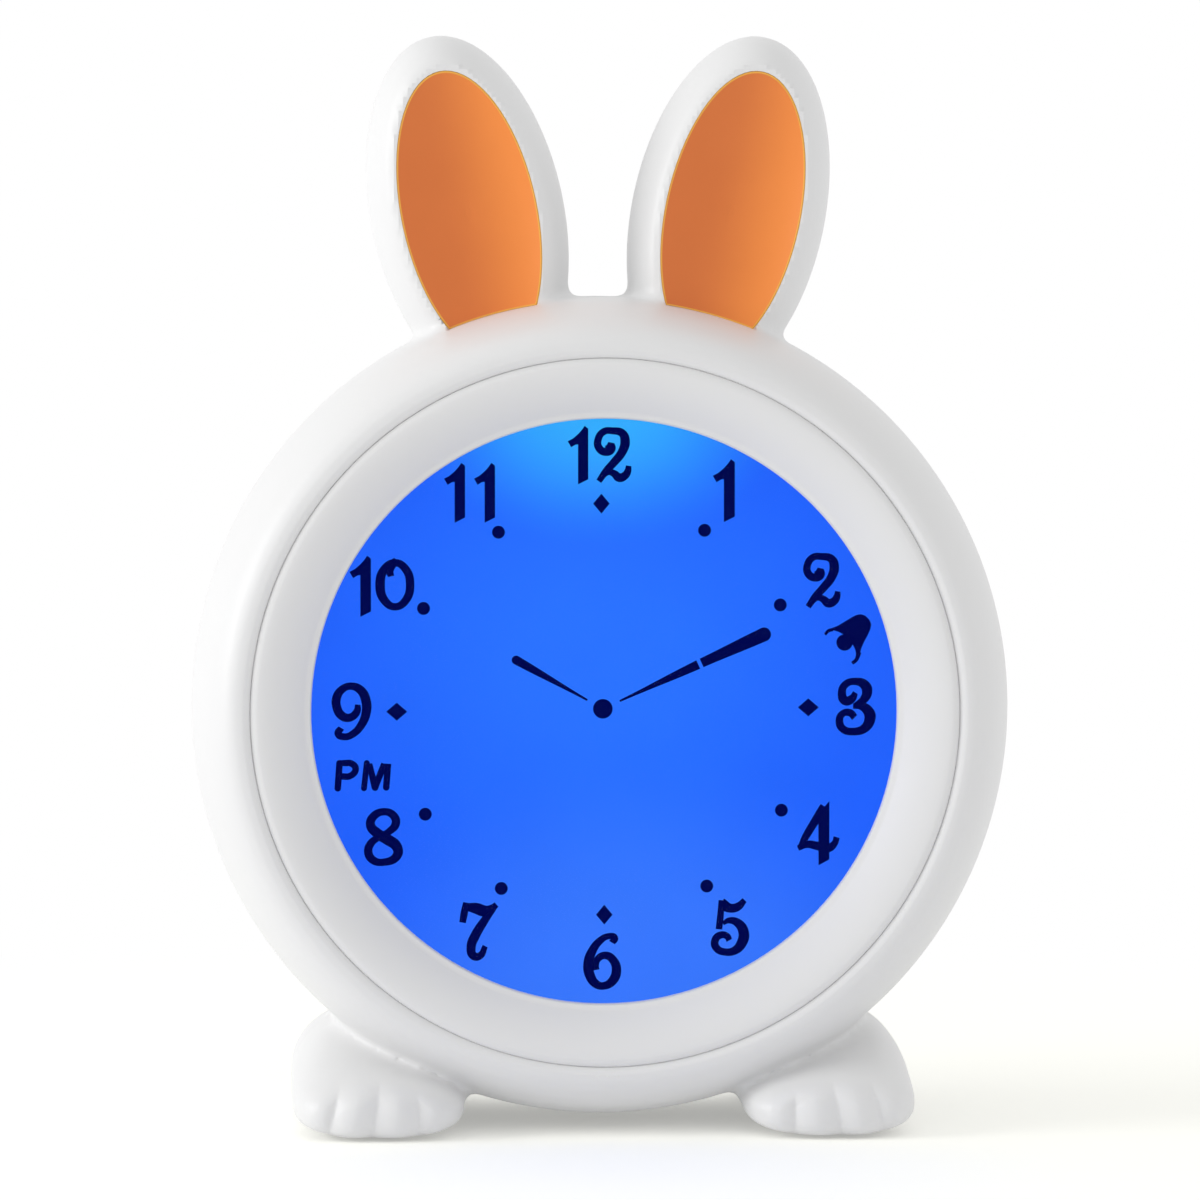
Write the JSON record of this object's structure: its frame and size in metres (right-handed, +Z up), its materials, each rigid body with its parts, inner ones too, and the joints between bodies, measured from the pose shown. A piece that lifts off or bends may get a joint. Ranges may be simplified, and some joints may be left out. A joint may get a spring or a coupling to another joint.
{
  "type": "alarm clock",
  "caption": "Children's bedside alarm clock: round head with a lit analogue display, long lit ears and two paw feet.",
  "frame": {"origin": "on the floor, midway between the feet, under the middle of the case from front to back", "axes": "+Z up, -Y the way the face looks, +X to the right as seen from the front"},
  "size_m": [0.15, 0.072, 0.2014],
  "materials": {
    "shell_white": "satin moulded ABS",
    "bezel_white": "satin moulded ABS",
    "window_clear": "clear acrylic",
    "lcd_glass": "liquid crystal glass lit blue",
    "film": "translucent film",
    "guide_acrylic": "polished acrylic",
    "frame_white": "moulded ABS",
    "board_green": "solder mask",
    "board_white": "white solder mask",
    "lamp": "light emitting diode",
    "connector_grey": "elastomer strip",
    "chip_black": "epoxy package",
    "header_ivory": "nylon",
    "ear_orange": "tinted translucent acrylic",
    "key_grey": "satin moulded ABS",
    "plunger_black": "nylon",
    "switch_black": "nylon",
    "steel": "zinc plated",
    "nickel": "nickel plated",
    "basket_black": "black enamel",
    "magnet_grey": "ferrite",
    "cone_paper": "coated paper",
    "foam_black": "foam",
    "cell_skin": "printed sleeve",
    "pad_rubber": "matt rubber",
    "wire_red": "PVC",
    "wire_grey": "PVC",
    "wire_orange": "PVC"
  },
  "bodies": {
    "clock": {"front_shell": "shell_white", "rear_shell": "shell_white", "bezel_ring": "bezel_white", "display_window": "window_clear", "lcd_panel": "lcd_glass", "diffuser_film": "film", "light_guide": "guide_acrylic", "reflector_sheet": "film", "display_frame": "frame_white", "backlight_board": "board_white", "backlight_leds": "lamp", "lcd_connector": "connector_grey", "main_board": "board_green", "controller_chip": "chip_black", "board_components": "chip_black", "wire_headers": "header_ivory", "ear_panel_left": "ear_orange", "ear_panel_right": "ear_orange", "ear_board_left": "board_white", "ear_board_right": "board_white", "ear_leds": "lamp", "ear_board_screws": "steel", "key_board_left": "board_green", "key_board_right": "board_green", "tact_switches": "switch_black", "key_board_screws": "steel", "alarm_switch_body": "steel", "speaker_frame": "basket_black", "speaker_magnet": "magnet_grey", "speaker_surround": "foam_black", "speaker_gasket": "foam_black", "speaker_screws": "steel", "batteries": "cell_skin", "battery_springs": "nickel", "battery_contacts": "nickel", "dc_jack": "switch_black", "foot_pads": "pad_rubber", "shell_screws": "steel", "frame_screws": "steel", "board_screws": "steel", "power_wires": "wire_red", "speaker_wires": "wire_grey", "ear_wires": "wire_orange", "key_wires": "wire_grey"},
    "time_key": {"time_button": "key_grey", "time_plunger": "plunger_black"},
    "alarm_key": {"alarm_button": "key_grey", "alarm_plunger": "plunger_black"},
    "snooze_key": {"snooze_button": "key_grey", "snooze_plunger": "plunger_black"},
    "light_key": {"light_button": "key_grey", "light_plunger": "plunger_black"},
    "up_key": {"up_button": "key_grey", "up_plunger": "plunger_black"},
    "down_key": {"down_button": "key_grey", "down_plunger": "plunger_black"},
    "alarm_switch": {"alarm_switch_knob": "switch_black"},
    "speaker_cone_body": {"speaker_cone": "cone_paper"},
    "door": {"battery_door": "shell_white", "door_screw": "steel"}
  },
  "joints": [
    {"name": "time_press", "type": "slide", "parent": "clock", "child": "time_key", "axis": [0, -1, 0], "range_m": [0, 0.0006], "stiffness_N_per_m": 2500, "springref_m": -0.0001},
    {"name": "alarm_press", "type": "slide", "parent": "clock", "child": "alarm_key", "axis": [0, -1, 0], "range_m": [0, 0.0006], "stiffness_N_per_m": 2500, "springref_m": -0.0001},
    {"name": "snooze_press", "type": "slide", "parent": "clock", "child": "snooze_key", "axis": [0, -1, 0], "range_m": [0, 0.0006], "stiffness_N_per_m": 2500, "springref_m": -0.0001},
    {"name": "light_press", "type": "slide", "parent": "clock", "child": "light_key", "axis": [0, -1, 0], "range_m": [0, 0.0006], "stiffness_N_per_m": 2500, "springref_m": -0.0001},
    {"name": "up_press", "type": "slide", "parent": "clock", "child": "up_key", "axis": [0, -1, 0], "range_m": [0, 0.0006], "stiffness_N_per_m": 2500, "springref_m": -0.0001},
    {"name": "down_press", "type": "slide", "parent": "clock", "child": "down_key", "axis": [0, -1, 0], "range_m": [0, 0.0006], "stiffness_N_per_m": 2500, "springref_m": -0.0001},
    {"name": "alarm_switch_slide", "type": "slide", "parent": "clock", "child": "alarm_switch", "axis": [1, 0, 0], "range_m": [0, 0.003]},
    {"name": "cone_travel", "type": "slide", "parent": "clock", "child": "speaker_cone_body", "axis": [0, 1, 0], "range_m": [-0.0003, 0.0003], "stiffness_N_per_m": 1200},
    {"name": "door_lift_off", "type": "slide", "parent": "clock", "child": "door", "axis": [0, 1, 0], "range_m": [0, 0.03]}
  ]
}
